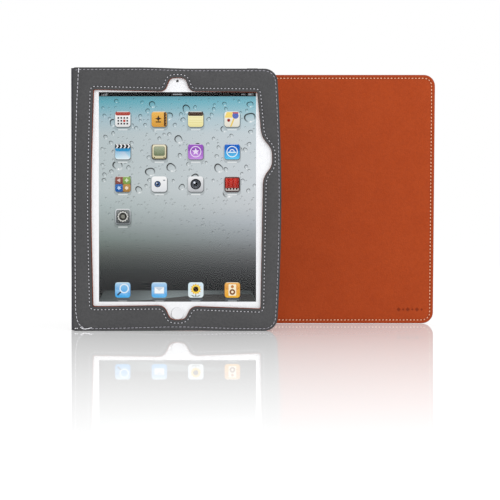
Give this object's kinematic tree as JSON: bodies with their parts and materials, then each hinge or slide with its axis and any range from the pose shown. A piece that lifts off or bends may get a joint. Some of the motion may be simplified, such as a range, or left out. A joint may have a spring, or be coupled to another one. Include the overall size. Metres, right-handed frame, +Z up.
{
  "type": "e-reader in folio case",
  "caption": "Tablet-style e-reader in a pocket holder with a framed window; a folding cover with spine, gusset and wrap flap stands behind it.",
  "frame": {"origin": "bottom centre of the whole, on the table", "axes": "+X to the reader's right, along the length of the unfolded stand; +Y from the glass towards the back; +Z up"},
  "size_m": [0.3512, 0.1566, 0.2476],
  "materials": {
    "grey_leather": "satin, fine grain",
    "orange_leather": "satin, pebbled grain",
    "grey_lining": "short-napped microfibre",
    "stiffener": "pressed board",
    "housing": "bead-blasted",
    "cover_glass": "polished",
    "white_border": "glossy white",
    "dark_plastic": "matt",
    "screen": "back-lit panel",
    "steel": "stamped",
    "cell_wrap": "foil pouch",
    "circuit": "solder mask",
    "flex": "polyimide film",
    "gasket": "moulded"
  },
  "bodies": {
    "holder": {"face_frame": "grey_leather", "face_lining": "orange_leather", "wall_left": "grey_leather", "wall_right_lower": "grey_leather", "wall_right_upper": "grey_leather", "wall_bottom_left": "grey_leather", "wall_bottom_right": "grey_leather", "back_lining": "grey_lining", "back_board": "stiffener", "back_skin": "grey_leather"},
    "tablet": {"rear_housing": "housing", "cover_glass": "cover_glass", "glass_border": "white_border", "bezel_gasket": "gasket", "lcd_panel": "screen", "lcd_backplate": "steel", "display_ribbon": "flex", "display_screw_1": "steel", "display_screw_2": "steel", "display_screw_3": "steel", "display_screw_4": "steel", "battery_left": "cell_wrap", "battery_middle": "cell_wrap", "battery_right": "cell_wrap", "battery_ribbon": "flex", "logic_board": "circuit", "shield_can": "steel", "charging_port": "steel", "headphone_jack": "dark_plastic", "front_camera": "dark_plastic", "rear_camera": "dark_plastic", "rear_camera_window": "cover_glass", "speaker_module": "dark_plastic", "wifi_antenna": "dark_plastic", "home_switch": "dark_plastic", "power_switch": "dark_plastic", "volume_switch": "dark_plastic", "slider_switch": "dark_plastic"},
    "home_button": {"home_button": "white_border"},
    "power_button": {"power_button": "dark_plastic"},
    "volume_rocker": {"volume_rocker": "dark_plastic"},
    "side_switch": {"side_switch": "dark_plastic"},
    "spine": {"spine_skin": "grey_leather", "spine_lining": "grey_lining"},
    "front_cover": {"front_cover_skin": "orange_leather", "front_cover_board": "stiffener", "front_cover_lining": "grey_lining"},
    "gusset": {"gusset_skin": "orange_leather", "gusset_lining": "grey_lining"},
    "wrap_flap": {"wrap_flap_skin": "orange_leather", "wrap_flap_board": "stiffener", "wrap_flap_lining": "grey_lining"}
  },
  "joints": [
    {"name": "spine_fold", "type": "hinge", "parent": "holder", "child": "spine", "pos_m": [-0.17506, -0.06461, 0.1238], "axis": [0, 0, 1], "range_deg": [-18, 190]},
    {"name": "cover_fold", "type": "hinge", "parent": "spine", "child": "front_cover", "pos_m": [-0.17212, -0.04792, 0.1238], "axis": [0, 0, 1], "range_deg": [-18, 134]},
    {"name": "gusset_fold", "type": "hinge", "parent": "front_cover", "child": "gusset", "pos_m": [-0.0104, 0.06958, 0.1238], "axis": [0, 0, 1], "range_deg": [-20, 108]},
    {"name": "flap_fold", "type": "hinge", "parent": "gusset", "child": "wrap_flap", "pos_m": [0.00924, 0.07596, 0.1238], "axis": [0, 0, 1], "range_deg": [-20, 108]},
    {"name": "tablet_slide", "type": "slide", "parent": "holder", "child": "tablet", "axis": [0, 0, 1], "range_m": [0, 0.25]},
    {"name": "home_press", "type": "slide", "parent": "tablet", "child": "home_button", "axis": [0, 1, 0], "range_m": [0, 0.0004], "stiffness_N_per_m": 900},
    {"name": "power_press", "type": "slide", "parent": "tablet", "child": "power_button", "axis": [0, 0, -1], "range_m": [0, 0.0004], "stiffness_N_per_m": 900},
    {"name": "volume_rock", "type": "hinge", "parent": "tablet", "child": "volume_rocker", "pos_m": [0.01669, -0.07201, 0.19], "axis": [0, 1, 0], "range_deg": [-1.5, 1.5], "stiffness_Nm_per_rad": 0.05},
    {"name": "mode_switch", "type": "slide", "parent": "tablet", "child": "side_switch", "axis": [0, 0, -1], "range_m": [0, 0.0015]}
  ]
}
